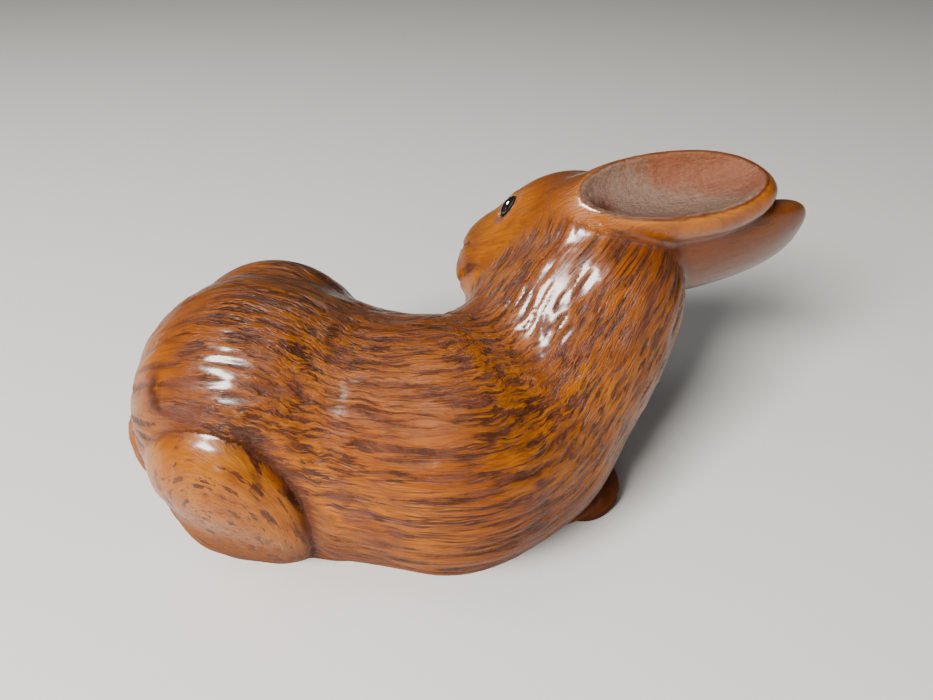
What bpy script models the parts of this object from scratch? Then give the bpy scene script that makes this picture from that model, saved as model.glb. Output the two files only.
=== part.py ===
# A hare figurine carved from one piece of wood: the animal lies on its belly
# with its rump to the left, looks back over its left shoulder and lays its
# long ears along its back. Two dark inlaid eyes are the only other pieces.
import math

import bmesh
import bpy
import numpy as np
from mathutils import Matrix, Vector

# Driving dimensions
# The carving has no printed size, so its pose, masses and relief are kept as
# hundredths of its nominal length, and that one length in metres drives them
# all. The rump and the far ear's tip reach about half a hundredth past it.
LENGTH = 0.0750
SHARE = LENGTH / 100.0

# The gap round each inlaid eye, a real clearance in metres
EYE_GAP = 0.0003

# How finely the skin is worked, in shares, and how many triangles it keeps
ROUGH_VOXEL = 1.2
FINE_VOXEL = 0.66
TRIANGLE_TARGET = 8300

# Trunk, in hundredths of the length: x towards the chest, y away from the
# right flank, z up, then the radius of the ball at that station
RUMP_STATION = (-30.8, 0.0, 23.8, 16.1)
LOIN_STATION = (-17.8, -3.3, 19.6, 17.8)
WAIST_STATION = (-2.6, -8.4, 21.5, 17.2)
CHEST_STATION = (6.6, -3.3, 20.2, 14.9)
NECK_STATION = (14.0, 3.0, 30.6, 14.0)
NAPE_STATION = (18.9, 6.5, 37.8, 13.2)

# Rounded masses, each a centre and three half axes
RUMP_MASS = ((-30.0, -3.4, 26.2), (16.9, 19.6, 16.9))
LEFT_HAUNCH_MASS = ((-29.6, 9.3, 21.8), (15.6, 11.0, 19.7))
RIGHT_HAUNCH_MASS = ((-31.2, -6.6, 10.1), (14.8, 8.8, 9.9))
BELLY_MASS = ((-4.9, -4.6, 6.5), (26.3, 7.4, 5.7))
TAIL_MASS = ((-46.5, -3.0, 18.1), (4.5, 5.0, 8.0))

# Raised thighs: centre along x and z, half width, half height above and below
RIGHT_THIGH = (-32.8, 19.0, 11.9, 14.3, 24.0)
LEFT_THIGH = (-31.5, 20.0, 12.5, 15.0, 24.0)
THIGH_LIFT = 1.0
THIGH_SLOPE = 0.3
THIGH_GROOVE = 1.1

# The groove falls away gently outside the thigh and is steep on the inside,
# both as shares of the thigh's half width
GROOVE_OUTSIDE = 0.17
GROOVE_INSIDE = 0.05

# Head, laid back over the left shoulder: its centre and the way it faces
HEAD_CENTRE = (15.2, 14.5, 42.5)
HEAD_FORWARD = (-0.90, 0.31, -0.31)
HEAD_CROWN = (0.01, 0.73, 0.69)
SKULL_AXES = (15.4, 8.8, 9.2)
CROWN_PLACE = (-0.7, 0.0, 3.1)
CROWN_AXES = (9.3, 8.5, 7.4)
MUZZLE_PLACE = (11.8, 0.0, -2.0)
MUZZLE_AXES = (5.7, 5.9, 7.2)
BROW_PLACE = (3.4, 5.9, 5.4)
BROW_AXES = (3.0, 1.5, 1.2)
LIP_PLACE = (15.4, 1.9, -3.2)
LIP_AXES = (2.2, 2.1, 3.2)
CHIN_PLACE = (13.0, 0.0, -7.4)
CHIN_AXES = (2.8, 2.6, 1.7)
MOUTH_HEIGHT = -5.6
MOUTH_RISE = 0.28
MOUTH_DEPTH = 0.55
NOSTRIL_HEIGHT = 1.5
NOSTRIL_FALL = 0.25
NOSTRIL_DEPTH = 0.5
FACE_LINE_WIDTH = 0.45

# Eyes: place on the head, half axes of the bead (narrow, out, long), and how
# far its long axis leans back
EYE_PLACE = (6.45, 7.05, 4.2)
EYE_AXES = (0.85, 1.1, 1.9)
EYE_TILT = math.radians(37.0)

# Ears: root, tip, width, thickness and the way the hollow faces, then the
# hollow's centre and half axes along, across and out of the blade
RIGHT_EAR = ((23.1, 6.6, 40.7), (50.4, 13.8, 46.0), 16.6, 6.9, (0.19, 0.75, 0.44))
RIGHT_EAR_HOLLOW = ((-0.5, 0.0, 3.0), (11.8, 5.6, 3.4))
LEFT_EAR = ((12.1, 8.2, 50.4), (42.6, 8.5, 54.0), 15.7, 12.4, (0.0, 0.09, 0.91))
LEFT_EAR_HOLLOW = ((0.9, -4.6, 4.2), (12.9, 6.4, 4.9))

# An ear is oval towards its root and blunter towards its tip: 2 is a true
# oval, more is squarer
ROOT_BLUNTNESS = 2.0
TIP_BLUNTNESS = 2.7

# A small chip in each rim: its place along the blade, its side and its size
RIGHT_EAR_CHIP = (11.5, 1.0)
LEFT_EAR_CHIP = (5.5, 1.0)
CHIP_WIDTH = 1.4
CHIP_DEPTH = 0.3

# Forelegs from the elbow to the wrist, then the paw's centre and half axes
RIGHT_FORELEG = ((4.0, -3.0, 7.0, 6.0), (13.0, -0.6, 4.6, 4.6), (19.0, 0.6, 3.6, 3.9))
RIGHT_PAW = ((19.5, 1.4, 3.6), (6.4, 6.3, 5.8))
LEFT_FORELEG = ((6.0, 7.0, 7.0, 6.0), (13.0, 8.6, 4.6, 4.6), (18.0, 9.4, 3.6, 3.9))
LEFT_PAW = ((19.0, 9.6, 3.1), (5.6, 4.8, 4.0))
RIGHT_HIND_FOOT = ((-30.0, -8.0, 1.5), (9.0, 3.4, 2.4))
LEFT_HIND_FOOT = ((-27.0, 11.0, 1.5), (10.0, 3.6, 2.6))
TOE_GROOVE = 0.45
TOE_GROOVE_WIDTH = 0.45
PAW_TOES = 3

# How softly neighbouring masses run into each other, in the same shares
TRUNK_BLEND = 5.0
HAUNCH_BLEND = 1.4
BELLY_BLEND = 2.5
THIGH_BLEND = 6.8
HEAD_BLEND = 5.0
FACE_BLEND = 3.0
LIMB_BLEND = 1.5
EAR_BLEND = 1.0
ROOT_BLEND = 3.5
BROW_BLEND = 1.2
TRIM_BLEND = 0.8

# How closely the finished skin is pulled onto the formula: rounds of moves,
# the probe that feels its slope and the longest move, in the same shares
ROUGH_ROUNDS = 6
FINE_ROUNDS = 5
SLOPE_PROBE = 0.02
LONGEST_MOVE = 1.5

# The middle of the carving's outline on the table becomes the origin
MIDDLE = (-0.274, -0.922)


def unit(vector):
    """Give a vector the length one."""
    vector = np.asarray(vector, float)
    return vector / np.linalg.norm(vector)


def head_axes():
    """Rows: forward to the nose, out to the left cheek, up to the crown."""
    forward = unit(HEAD_FORWARD)
    crown = np.asarray(HEAD_CROWN, float)
    crown = unit(crown - forward * crown.dot(forward))
    return np.array([forward, np.cross(crown, forward), crown])


HEAD_AXES = head_axes()


def on_head(place):
    """Turn a place given along the head's axes into the carving's frame."""
    return np.asarray(HEAD_CENTRE) + np.asarray(place, float) @ HEAD_AXES


def join(one, other, reach):
    """Lesser of two distances, rounded where they differ by less than reach."""
    overlap = np.maximum(reach - np.abs(one - other), 0.0) / reach
    return np.minimum(one, other) - overlap * overlap * reach / 4.0


def cut(one, hollow, reach):
    """Take a hollow out of a mass, with its edge rounded over reach."""
    return -join(-one, hollow, reach)


def ramp(low, high, value):
    """Smooth step from zero at low to one at high."""
    share = np.clip((value - low) / (high - low), 0.0, 1.0)
    return share * share * (3.0 - 2.0 * share)


def ridge(value, width):
    """A rounded ridge: one on its line, almost nothing two widths away."""
    return np.exp(-(value / width) ** 2)


def ellipsoid(points, centre, axes, frame=None):
    """Distance to an ellipsoid, from its scaled radius and its slope."""
    offset = points - np.asarray(centre, float)
    if frame is not None:
        offset = offset @ np.asarray(frame).T
    axes = np.asarray(axes, float)
    scaled = np.linalg.norm(offset / axes, axis=-1)
    slope = np.linalg.norm(offset / axes ** 2, axis=-1)
    return scaled * (scaled - 1.0) / np.maximum(slope, 1e-9)


def taper(points, start, end):
    """Distance to two balls and the cone that is tangent to both."""
    start = np.asarray(start, float)
    end = np.asarray(end, float)
    axis = end[:3] - start[:3]
    length = np.linalg.norm(axis)
    offset = points - start[:3]
    height = offset @ axis / length
    aside = np.linalg.norm(offset - height[..., None] * axis / length, axis=-1)
    lean = (start[3] - end[3]) / length
    upright = math.sqrt(1.0 - lean * lean)
    place = np.clip(height - aside * lean / upright, 0.0, length)
    radius = start[3] + (end[3] - start[3]) * place / length
    return np.hypot(aside, height - place) - radius


def chain(points, stations, reach):
    """Join the tapers that run from each station to the next."""
    distance = taper(points, stations[0], stations[1])
    for start, end in zip(stations[1:], stations[2:]):
        distance = join(distance, taper(points, start, end), reach)
    return distance


def blunt_oval(place, half):
    """Distance to an oval blade whose tip is blunter than an ellipse."""
    scaled = np.abs(place) / half
    power = np.where(place[..., 0] > 0.0, TIP_BLUNTNESS, ROOT_BLUNTNESS)
    outline = (scaled[..., 0] ** power + scaled[..., 1] ** power) ** (1.0 / power)
    reach = np.maximum(np.hypot(outline, scaled[..., 2]), 1e-9)
    share = (scaled[..., :2] / np.maximum(outline, 1e-9)[..., None]) ** (power - 1.0)[..., None]
    slope = np.concatenate([share * outline[..., None], scaled[..., 2:]], -1) / half
    return (reach - 1.0) * reach / np.maximum(np.linalg.norm(slope, axis=-1), 1e-9)


def ear_frame(ear):
    """Centre of a blade, its rows along, across and out, and its half axes."""
    root, tip, width, thickness, facing = ear
    root = np.asarray(root, float)
    tip = np.asarray(tip, float)
    along = unit(tip - root)
    out = np.asarray(facing, float)
    out = unit(out - along * out.dot(along))
    frame = np.array([along, np.cross(out, along), out])
    half = np.array([np.linalg.norm(tip - root), width, thickness]) / 2.0
    return (root + tip) / 2.0, frame, half


def add_ear(distance, points, spec, hollow, chip):
    """Join a long blade with a hollow and a chipped rim, softly at its root."""
    centre, frame, half = ear_frame(spec)
    place = (points - centre) @ frame.T
    on_rim = ramp(0.4 * half[1], 0.9 * half[1], chip[1] * place[..., 1])
    blade = blunt_oval(place, half) + CHIP_DEPTH * ridge(place[..., 0] - chip[0], CHIP_WIDTH) * on_rim
    scoop = blunt_oval(place - np.asarray(hollow[0]), np.asarray(hollow[1]))
    rooted = 1.0 - ramp(-half[0], -0.4 * half[0], place[..., 0])
    return cut(join(distance, blade, EAR_BLEND + ROOT_BLEND * rooted), scoop, TRIM_BLEND)


def thigh_relief(points, thigh, side):
    """Height of the raised thigh, less the groove along its upper front edge."""
    middle_x, middle_z, half_width, half_above, half_below = thigh
    along = (points[..., 0] - middle_x) / half_width
    above = points[..., 2] - middle_z
    upright = np.where(above > 0.0, above / half_above, above / half_below)
    edge = np.hypot(along, upright) - 1.0
    outer = ramp(3.0, 9.0, side * points[..., 1])
    seen = ramp(-1.1, -0.1, along) * ramp(2.0, 10.0, points[..., 2])
    lift = THIGH_LIFT * ramp(0.0, THIGH_SLOPE, -edge)
    groove = THIGH_GROOVE * ridge(edge, np.where(edge > 0.0, GROOVE_OUTSIDE, GROOVE_INSIDE)) * seen
    return (lift - groove) * outer


def paw(points, spec, leg, toes):
    """A foot on its leg, with shallow grooves between the toes in front."""
    centre, axes = spec
    distance = ellipsoid(points, centre, axes)
    front = ramp(centre[0] + 0.1 * axes[0], centre[0] + 0.6 * axes[0], points[..., 0])
    for toe in range(1, toes):
        line = centre[1] + axes[1] * (2.0 * toe / toes - 1.0)
        distance = distance + TOE_GROOVE * front * ridge(points[..., 1] - line, TOE_GROOVE_WIDTH)
    return join(leg, distance, LIMB_BLEND)


def trunk(points):
    """Rump, loin, waist, chest and neck, with the haunches on each side."""
    rump = ellipsoid(points, *RUMP_MASS)
    back = chain(points, (RUMP_STATION, LOIN_STATION, WAIST_STATION, CHEST_STATION), TRUNK_BLEND)
    neck = chain(points, (CHEST_STATION, NECK_STATION, NAPE_STATION), TRUNK_BLEND)
    distance = join(join(rump, back, TRUNK_BLEND), neck, TRUNK_BLEND)
    distance = join(distance, ellipsoid(points, *LEFT_HAUNCH_MASS), HAUNCH_BLEND)
    distance = join(distance, ellipsoid(points, *RIGHT_HAUNCH_MASS), THIGH_BLEND)
    distance = distance - thigh_relief(points, RIGHT_THIGH, -1.0)
    distance = distance - thigh_relief(points, LEFT_THIGH, 1.0)
    distance = join(distance, ellipsoid(points, *BELLY_MASS), BELLY_BLEND)
    return join(distance, ellipsoid(points, *TAIL_MASS), TRIM_BLEND)


def head(points):
    """Skull and muzzle, with brows, lips and chin the same on both sides."""
    place = (points - np.asarray(HEAD_CENTRE)) @ HEAD_AXES.T
    skull = ellipsoid(place, (0.0, 0.0, 0.0), SKULL_AXES)
    skull = join(skull, ellipsoid(place, MUZZLE_PLACE, MUZZLE_AXES), FACE_BLEND)
    skull = join(skull, ellipsoid(place, CROWN_PLACE, CROWN_AXES), FACE_BLEND)
    half = np.stack([place[..., 0], np.abs(place[..., 1]), place[..., 2]], -1)
    skull = join(skull, ellipsoid(half, BROW_PLACE, BROW_AXES), BROW_BLEND)
    skull = join(skull, ellipsoid(half, LIP_PLACE, LIP_AXES), TRIM_BLEND)
    skull = join(skull, ellipsoid(place, CHIN_PLACE, CHIN_AXES), TRIM_BLEND)
    forward, aside, upward = half[..., 0], half[..., 1], half[..., 2]
    mouth_line = MOUTH_HEIGHT + MOUTH_RISE * aside
    nostril_line = NOSTRIL_HEIGHT - NOSTRIL_FALL * aside
    mouth = ridge(upward - mouth_line, FACE_LINE_WIDTH) * ramp(10.5, 13.0, forward)
    nostril = ridge(upward - nostril_line, FACE_LINE_WIDTH) * ramp(12.5, 14.0, forward)
    parting = ridge(aside, FACE_LINE_WIDTH) * ramp(MOUTH_HEIGHT, -4.0, upward) * ramp(14.0, 15.5, forward)
    return skull + MOUTH_DEPTH * mouth + NOSTRIL_DEPTH * (nostril + parting)


def carving(points):
    """Signed distance to the whole carving, in hundredths of its length."""
    distance = join(trunk(points), head(points), HEAD_BLEND)
    distance = add_ear(distance, points, RIGHT_EAR, RIGHT_EAR_HOLLOW, RIGHT_EAR_CHIP)
    distance = add_ear(distance, points, LEFT_EAR, LEFT_EAR_HOLLOW, LEFT_EAR_CHIP)
    for leg, spec in ((RIGHT_FORELEG, RIGHT_PAW), (LEFT_FORELEG, LEFT_PAW)):
        foot = paw(points, spec, chain(points, leg, LIMB_BLEND), PAW_TOES)
        distance = join(distance, foot, LIMB_BLEND)
    for spec in (RIGHT_HIND_FOOT, LEFT_HIND_FOOT):
        distance = join(distance, ellipsoid(points, *spec), TRIM_BLEND)
    return distance


def to_metres(points):
    """Carving's frame in shares to the object's frame in metres."""
    offset = np.array([MIDDLE[0], MIDDLE[1], 0.0])
    return (np.asarray(points, float) - offset) * SHARE


def to_shares(points):
    """Object's frame in metres to the carving's frame in shares."""
    offset = np.array([MIDDLE[0], MIDDLE[1], 0.0])
    return np.asarray(points, float) / SHARE + offset


def start_fresh():
    """Remove whatever objects the scene holds."""
    for item in list(bpy.data.objects):
        bpy.data.objects.remove(item, do_unlink=True)


def make_material(name, colour, roughness):
    """A plain Principled material."""
    material = bpy.data.materials.new(name)
    material.use_nodes = True
    shader = material.node_tree.nodes["Principled BSDF"]
    shader.inputs["Base Color"].default_value = (*colour, 1.0)
    shader.inputs["Roughness"].default_value = roughness
    shader.inputs["Metallic"].default_value = 0.0
    return material


def make_collection(name):
    """A collection linked to the scene."""
    collection = bpy.data.collections.new(name)
    bpy.context.scene.collection.children.link(collection)
    return collection


def add_object(name, mesh, collection):
    """An object for a mesh, linked to its collection."""
    item = bpy.data.objects.new(name, mesh)
    collection.objects.link(item)
    return item


def as_cutter(item):
    """Show an object as a wire that is never rendered."""
    item.display_type = "WIRE"
    item.hide_render = True
    return item


def frame_matrix(centre, axes, frame):
    """Matrix that makes a unit ball the ellipsoid with this centre and frame."""
    matrix = Matrix.Identity(4)
    middle = to_metres(centre)
    for row in range(3):
        matrix[row][3] = middle[row]
        for column in range(3):
            matrix[row][column] = frame[column][row] * axes[column] * SHARE
    return matrix


def add_ball(mesh, centre, axes, frame=np.eye(3), around=32, rings=20):
    """Add an ellipsoid to a bmesh."""
    matrix = frame_matrix(centre, axes, frame)
    bmesh.ops.create_uvsphere(mesh, u_segments=around, v_segments=rings, radius=1.0, matrix=matrix)


def add_taper(mesh, start, end):
    """Add a limb: a ball at each end and the cone between them."""
    for station in (start, end):
        add_ball(mesh, station[:3], (station[3],) * 3)
    low = Vector(to_metres(start[:3]))
    high = Vector(to_metres(end[:3]))
    turn = (high - low).to_track_quat("Z", "Y").to_matrix().to_4x4()
    matrix = Matrix.Translation((low + high) / 2.0) @ turn
    bmesh.ops.create_cone(
        mesh, cap_ends=True, segments=32, matrix=matrix, depth=(high - low).length,
        radius1=start[3] * SHARE, radius2=end[3] * SHARE)


def ball_mesh(name, centre, axes, frame, around, rings):
    """A mesh that holds one ellipsoid."""
    mesh = bpy.data.meshes.new(name)
    edit = bmesh.new()
    add_ball(edit, centre, axes, frame, around, rings)
    edit.to_mesh(mesh)
    edit.free()
    return mesh


def rough_block():
    """All masses as overlapping balls, cones and blades in one mesh."""
    edit = bmesh.new()
    limbs = (
        (RUMP_STATION, LOIN_STATION, WAIST_STATION, CHEST_STATION, NECK_STATION, NAPE_STATION),
        RIGHT_FORELEG, LEFT_FORELEG)
    for stations in limbs:
        for start, end in zip(stations, stations[1:]):
            add_taper(edit, start, end)
    masses = (
        RUMP_MASS, LEFT_HAUNCH_MASS, RIGHT_HAUNCH_MASS, BELLY_MASS, TAIL_MASS,
        RIGHT_PAW, LEFT_PAW, RIGHT_HIND_FOOT, LEFT_HIND_FOOT)
    for centre, axes in masses:
        add_ball(edit, centre, axes)
    skull = ((0.0, 0.0, 0.0), SKULL_AXES)
    for place, axes in (skull, (MUZZLE_PLACE, MUZZLE_AXES), (CROWN_PLACE, CROWN_AXES)):
        add_ball(edit, on_head(place), axes, HEAD_AXES)
    for spec in (LEFT_EAR, RIGHT_EAR):
        centre, frame, half = ear_frame(spec)
        add_ball(edit, centre, half, frame)
    mesh = bpy.data.meshes.new("block")
    edit.to_mesh(mesh)
    edit.free()
    return mesh


def add_boolean(item, cutter, name):
    """Cut an object with another one."""
    modifier = item.modifiers.new(name, "BOOLEAN")
    modifier.operation = "DIFFERENCE"
    modifier.solver = "EXACT"
    modifier.object = cutter


def add_remesh(item, voxel):
    """Wrap everything in one even skin."""
    modifier = item.modifiers.new("skin", "REMESH")
    modifier.mode = "VOXEL"
    modifier.voxel_size = voxel
    modifier.adaptivity = 0.0


def bake(item):
    """Replace an object's mesh by what its modifiers make of it."""
    bpy.context.view_layer.update()
    graph = bpy.context.evaluated_depsgraph_get()
    mesh = bpy.data.meshes.new_from_object(item.evaluated_get(graph))
    item.modifiers.clear()
    item.data = mesh
    return mesh


def settle(mesh, steps):
    """Move each vertex onto the carved surface by steps down its slope."""
    places = np.empty(len(mesh.vertices) * 3, np.float32)
    mesh.vertices.foreach_get("co", places)
    points = to_shares(places.reshape(-1, 3))
    probes = np.eye(3) * SLOPE_PROBE
    for _ in range(steps):
        distance = carving(points)
        rise = np.stack([carving(points + probe) - carving(points - probe) for probe in probes], -1)
        slope = rise / (2.0 * SLOPE_PROBE)
        size = np.maximum((slope ** 2).sum(-1), 0.2)
        move = np.clip(distance / size, -LONGEST_MOVE, LONGEST_MOVE)
        points = points - slope * move[:, None]
    mesh.vertices.foreach_set("co", to_metres(points).astype(np.float32).ravel())
    mesh.update()


def eye_seat(side):
    """Centre and frame of an eye, on the left (1) or the right (-1) side."""
    forward, outward, upward = EYE_PLACE
    narrow = HEAD_AXES[0] * math.cos(EYE_TILT) + HEAD_AXES[2] * math.sin(EYE_TILT)
    long = HEAD_AXES[2] * math.cos(EYE_TILT) - HEAD_AXES[0] * math.sin(EYE_TILT)
    frame = np.array([side * narrow, side * HEAD_AXES[1], long])
    return on_head((forward, side * outward, upward)), frame


def build_hare(collection, cutters):
    """The carving: block, ear hollows, settled skin, then the exact cuts."""
    hare = add_object("hare", rough_block(), collection)
    add_remesh(hare, ROUGH_VOXEL * SHARE)
    hollows = (
        (LEFT_EAR, LEFT_EAR_HOLLOW, "left_ear_hollow"),
        (RIGHT_EAR, RIGHT_EAR_HOLLOW, "right_ear_hollow"))
    for spec, (offset, axes), name in hollows:
        middle, frame, _ = ear_frame(spec)
        centre = middle + np.asarray(offset) @ frame
        cutter = as_cutter(add_object(name, ball_mesh(name, centre, axes, frame, 32, 20), cutters))
        add_boolean(hare, cutter, name)
    settle(bake(hare), ROUGH_ROUNDS)
    add_remesh(hare, FINE_VOXEL * SHARE)
    mesh = bake(hare)
    settle(mesh, FINE_ROUNDS)
    edit = bmesh.new()
    edit.from_mesh(mesh)
    bmesh.ops.triangulate(edit, faces=edit.faces)
    edit.to_mesh(mesh)
    edit.free()
    mesh.shade_smooth()
    thin = hare.modifiers.new("thin_out", "DECIMATE")
    thin.decimate_type = "COLLAPSE"
    thin.ratio = TRIANGLE_TARGET / len(mesh.polygons)
    for side, name in ((1, "left_eye_socket"), (-1, "right_eye_socket")):
        centre, frame = eye_seat(side)
        axes = np.asarray(EYE_AXES) + EYE_GAP / SHARE
        cutter = as_cutter(add_object(name, ball_mesh(name, centre, axes, frame, 18, 10), cutters))
        add_boolean(hare, cutter, name)
    slab = bpy.data.meshes.new("table_line")
    edit = bmesh.new()
    bmesh.ops.create_cube(edit, size=2.0 * LENGTH, matrix=Matrix.Translation((0.0, 0.0, -LENGTH)))
    edit.to_mesh(slab)
    edit.free()
    add_boolean(hare, as_cutter(add_object("table_line", slab, cutters)), "worn_underside")
    return hare


def build_eye(side, name, collection):
    """A dark oval bead, let into its socket with a fine gap all round."""
    centre, frame = eye_seat(side)
    mesh = ball_mesh(name, centre, EYE_AXES, frame, 16, 10)
    mesh.shade_smooth()
    return add_object(name, mesh, collection)


def main():
    """Build the three pieces."""
    start_fresh()
    collection = make_collection("hare_figurine")
    cutters = make_collection("cutters")
    wood = make_material("polished_boxwood", (0.36, 0.14, 0.045), 0.3)
    dark = make_material("dark_inlay", (0.006, 0.004, 0.004), 0.08)
    build_hare(collection, cutters).data.materials.append(wood)
    for side, name in ((1, "eye_left"), (-1, "eye_right")):
        build_eye(side, name, collection).data.materials.append(dark)


main()
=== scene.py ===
# %% [markdown]
# # A hare carved from one piece of wood
# The object is a pocket-sized hare, cut from close-grained wood, stained an
# orange brown and waxed. It lies on its belly and looks back over its left
# shoulder. This file dresses the plain solid: it makes a fine skin, cuts the
# fur into it stroke by stroke, inlays the eyes and mixes the stain.

# %% Open the frame
import math

import bmesh
import bpy
import numpy as np
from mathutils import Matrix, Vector


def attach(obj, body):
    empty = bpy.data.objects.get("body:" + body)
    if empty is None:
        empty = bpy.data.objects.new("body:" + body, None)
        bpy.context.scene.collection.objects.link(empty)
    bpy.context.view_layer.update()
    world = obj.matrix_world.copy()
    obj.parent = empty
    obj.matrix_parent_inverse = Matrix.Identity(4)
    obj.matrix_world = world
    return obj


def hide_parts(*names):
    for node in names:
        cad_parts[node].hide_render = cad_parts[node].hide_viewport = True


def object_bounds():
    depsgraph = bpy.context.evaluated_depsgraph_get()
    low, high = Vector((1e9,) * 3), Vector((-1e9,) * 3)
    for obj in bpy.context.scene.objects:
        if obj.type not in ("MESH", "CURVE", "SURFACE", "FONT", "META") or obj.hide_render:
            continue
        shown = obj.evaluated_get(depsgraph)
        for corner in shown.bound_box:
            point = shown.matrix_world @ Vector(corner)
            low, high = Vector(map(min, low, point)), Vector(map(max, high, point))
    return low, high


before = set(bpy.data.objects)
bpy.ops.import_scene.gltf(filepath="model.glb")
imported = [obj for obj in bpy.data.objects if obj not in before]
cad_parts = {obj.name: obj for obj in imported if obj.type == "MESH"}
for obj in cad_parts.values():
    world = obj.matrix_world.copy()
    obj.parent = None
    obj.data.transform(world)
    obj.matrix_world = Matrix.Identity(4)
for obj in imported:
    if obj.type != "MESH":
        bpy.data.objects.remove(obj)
solid_low, solid_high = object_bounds()
print("solid box", solid_low, solid_high)

# %% [markdown]
# ## The shape as a formula
# A carver thinks in masses: a ball for the rump, a tapering limb for the
# neck, a blade for each ear. Here every mass is a distance formula that is
# negative inside. The smaller of two distances joins two masses, and rounding
# that choice makes them flow into each other like worked wood. All places
# are shares of the carving's length, so that one length sizes everything.

# %% Sizes of the carving, in hundredths of its length
LENGTH = 0.0750
SHARE = LENGTH / 100.0
MIDDLE = np.array((-0.274, -0.922, 0.0))

RUMP_STATION = (-30.8, 0.0, 23.8, 16.1)
LOIN_STATION = (-17.8, -3.3, 19.6, 17.8)
WAIST_STATION = (-2.6, -8.4, 21.5, 17.2)
CHEST_STATION = (6.6, -3.3, 20.2, 14.9)
NECK_STATION = (14.0, 3.0, 30.6, 14.0)
NAPE_STATION = (18.9, 6.5, 37.8, 13.2)
RUMP_MASS = ((-30.0, -3.4, 26.2), (16.9, 19.6, 16.9))
LEFT_HAUNCH_MASS = ((-29.6, 9.3, 21.8), (15.6, 11.0, 19.7))
RIGHT_HAUNCH_MASS = ((-31.2, -6.6, 10.1), (14.8, 8.8, 9.9))
BELLY_MASS = ((-4.9, -4.6, 6.5), (26.3, 7.4, 5.7))
TAIL_MASS = ((-46.5, -3.0, 18.1), (4.5, 5.0, 8.0))
RIGHT_THIGH = (-32.8, 19.0, 11.9, 14.3, 24.0)
LEFT_THIGH = (-31.5, 20.0, 12.5, 15.0, 24.0)
THIGH_LIFT = 1.0
THIGH_SLOPE = 0.3
THIGH_GROOVE = 1.1
GROOVE_OUTSIDE = 0.17
GROOVE_INSIDE = 0.05

HEAD_CENTRE = (15.2, 14.5, 42.5)
HEAD_FORWARD = (-0.90, 0.31, -0.31)
HEAD_CROWN = (0.01, 0.73, 0.69)
SKULL_AXES = (15.4, 8.8, 9.2)
CROWN_PLACE = (-0.7, 0.0, 3.1)
CROWN_AXES = (9.3, 8.5, 7.4)
MUZZLE_PLACE = (11.8, 0.0, -2.0)
MUZZLE_AXES = (5.7, 5.9, 7.2)
BROW_PLACE = (3.4, 5.9, 5.4)
BROW_AXES = (3.0, 1.5, 1.2)
LIP_PLACE = (15.4, 1.9, -3.2)
LIP_AXES = (2.2, 2.1, 3.2)
CHIN_PLACE = (13.0, 0.0, -7.4)
CHIN_AXES = (2.8, 2.6, 1.7)
MOUTH_HEIGHT = -5.6
MOUTH_RISE = 0.28
MOUTH_DEPTH = 0.55
NOSTRIL_HEIGHT = 1.5
NOSTRIL_FALL = 0.25
NOSTRIL_DEPTH = 0.5
FACE_LINE_WIDTH = 0.45
EYE_PLACE = (6.45, 7.05, 4.2)
EYE_AXES = (0.85, 1.1, 1.9)
EYE_TILT = math.radians(37.0)

RIGHT_EAR = ((23.1, 6.6, 40.7), (50.4, 13.8, 46.0), 16.6, 6.9, (0.19, 0.75, 0.44))
RIGHT_EAR_HOLLOW = ((-0.5, 0.0, 3.0), (11.8, 5.6, 3.4))
LEFT_EAR = ((12.1, 8.2, 50.4), (42.6, 8.5, 54.0), 15.7, 12.4, (0.0, 0.09, 0.91))
LEFT_EAR_HOLLOW = ((0.9, -4.6, 4.2), (12.9, 6.4, 4.9))
ROOT_BLUNTNESS = 2.0
TIP_BLUNTNESS = 2.7
RIGHT_EAR_CHIP = (11.5, 1.0)
LEFT_EAR_CHIP = (5.5, 1.0)
CHIP_WIDTH = 1.4
CHIP_DEPTH = 0.3

RIGHT_FORELEG = ((4.0, -3.0, 7.0, 6.0), (13.0, -0.6, 4.6, 4.6), (19.0, 0.6, 3.6, 3.9))
RIGHT_PAW = ((19.5, 1.4, 3.6), (6.4, 6.3, 5.8))
LEFT_FORELEG = ((6.0, 7.0, 7.0, 6.0), (13.0, 8.6, 4.6, 4.6), (18.0, 9.4, 3.6, 3.9))
LEFT_PAW = ((19.0, 9.6, 3.1), (5.6, 4.8, 4.0))
RIGHT_HIND_FOOT = ((-30.0, -8.0, 1.5), (9.0, 3.4, 2.4))
LEFT_HIND_FOOT = ((-27.0, 11.0, 1.5), (10.0, 3.6, 2.6))
TOE_GROOVE = 0.45
TOE_GROOVE_WIDTH = 0.45
PAW_TOES = 3

TRUNK_BLEND = 5.0
HAUNCH_BLEND = 1.4
BELLY_BLEND = 2.5
THIGH_BLEND = 6.8
HEAD_BLEND = 5.0
FACE_BLEND = 3.0
LIMB_BLEND = 1.5
EAR_BLEND = 1.0
ROOT_BLEND = 3.5
BROW_BLEND = 1.2
TRIM_BLEND = 0.8
print("share of the length:", round(SHARE * 1000, 3), "mm")


# %% Joining, cutting and fading
def unit(vector):
    """The vector over its own length."""
    vector = np.asarray(vector, float)
    return vector / np.linalg.norm(vector)


def join(one, other, reach):
    """Lesser distance, less a quarter of reach times the squared overlap share."""
    overlap = np.maximum(reach - np.abs(one - other), 0.0) / reach
    return np.minimum(one, other) - overlap * overlap * reach / 4.0


def cut(one, hollow, reach):
    """The mass without the hollow: the joint of both, turned inside out."""
    return -join(-one, hollow, reach)


def ramp(low, high, value):
    """Three t squared less two t cubed, with t running from low to high."""
    share = np.clip((value - low) / (high - low), 0.0, 1.0)
    return share * share * (3.0 - 2.0 * share)


def ridge(value, width):
    """A bell: e to the minus square of value over width."""
    return np.exp(-(value / width) ** 2)


print("two walls at 1, joined over 2:", join(1.0, 1.0, 2.0))


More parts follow.
